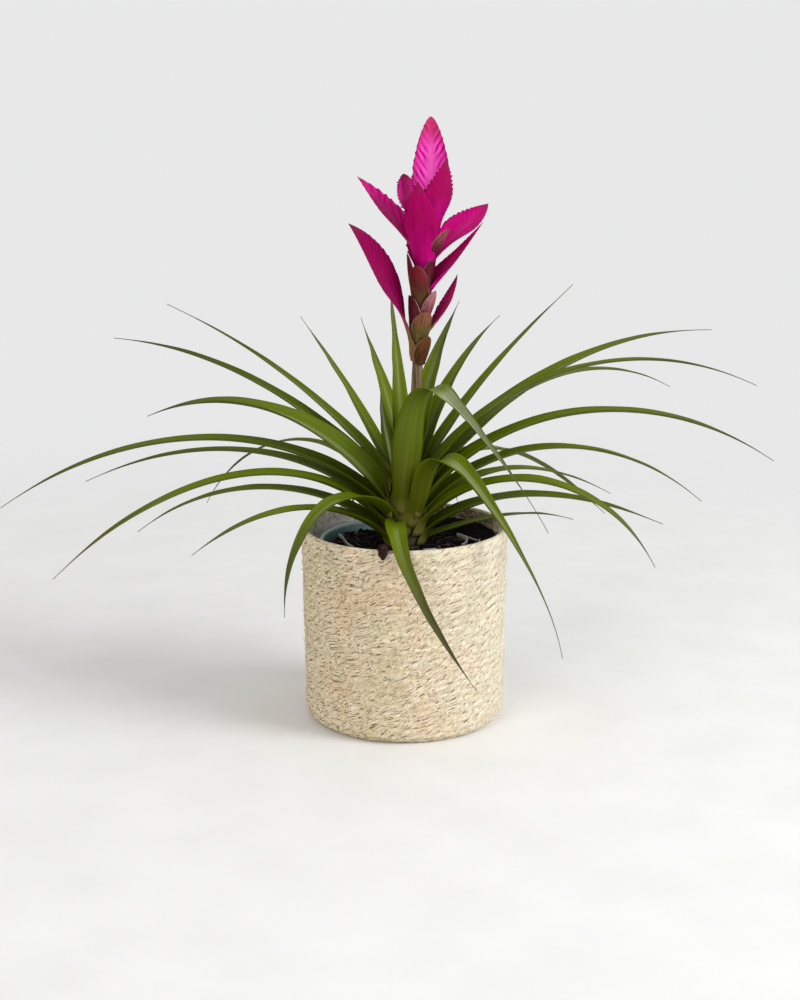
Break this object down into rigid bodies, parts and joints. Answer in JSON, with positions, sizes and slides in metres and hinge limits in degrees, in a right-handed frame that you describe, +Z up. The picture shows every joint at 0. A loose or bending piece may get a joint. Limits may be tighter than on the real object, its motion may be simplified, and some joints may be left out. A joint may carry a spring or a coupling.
{
  "type": "bromeliad",
  "caption": "Flowering bromeliad with arching strap leaves and a spike of pointed magenta bracts, potted in a nursery pot inside a woven basket with a plastic liner.",
  "frame": {"origin": "middle of the basket's flat underside", "axes": "+Z up; -Y is the side that faces the viewer, +X is to the viewer's right"},
  "size_m": [0.5105, 0.2933, 0.406],
  "materials": {
    "woven_straw": "matte",
    "clear_film": "gloss",
    "pot_plastic": "satin",
    "peat": "matte",
    "bark": "matte",
    "crown_green": "satin",
    "stalk_brown": "matte",
    "leaf_green": "satin",
    "sheath_olive": "matte",
    "bract_magenta": "satin"
  },
  "bodies": {
    "root": {"basket": "woven_straw", "liner": "clear_film", "nursery_pot": "pot_plastic", "potting_soil": "peat", "bark_clump": "bark", "film_curl_left": "clear_film", "film_curl_right": "clear_film", "crown": "crown_green", "flower_stalk": "stalk_brown", "leaf_01": "leaf_green", "leaf_02": "leaf_green", "leaf_03": "leaf_green", "leaf_04": "leaf_green", "leaf_05": "leaf_green", "leaf_06": "leaf_green", "leaf_07": "leaf_green", "leaf_08": "leaf_green", "leaf_09": "leaf_green", "leaf_10": "leaf_green", "leaf_11": "leaf_green", "leaf_12": "leaf_green", "leaf_13": "leaf_green", "leaf_14": "leaf_green", "leaf_15": "leaf_green", "leaf_16": "leaf_green", "leaf_17": "leaf_green", "leaf_18": "leaf_green", "leaf_19": "leaf_green", "leaf_20": "leaf_green", "leaf_21": "leaf_green", "leaf_22": "leaf_green", "leaf_23": "leaf_green", "leaf_24": "leaf_green", "leaf_25": "leaf_green", "leaf_26": "leaf_green", "leaf_27": "leaf_green", "leaf_28": "leaf_green", "leaf_29": "leaf_green", "leaf_30": "leaf_green", "leaf_31": "leaf_green", "leaf_32": "leaf_green", "leaf_33": "leaf_green", "sheath_01": "sheath_olive", "sheath_02": "sheath_olive", "sheath_03": "sheath_olive", "sheath_04": "sheath_olive", "sheath_05": "sheath_olive", "sheath_06": "sheath_olive", "sheath_07": "sheath_olive", "sheath_08": "sheath_olive", "bract_left_lower": "bract_magenta", "bract_right_lower": "bract_magenta", "bract_right_middle": "bract_magenta", "bract_back": "bract_magenta", "bract_front": "bract_magenta", "bract_left_upper": "bract_magenta", "bract_right_upper": "bract_magenta", "bract_left_back": "bract_magenta", "bract_right_front": "bract_magenta", "bract_top": "bract_magenta"}
  },
  "joints": []
}
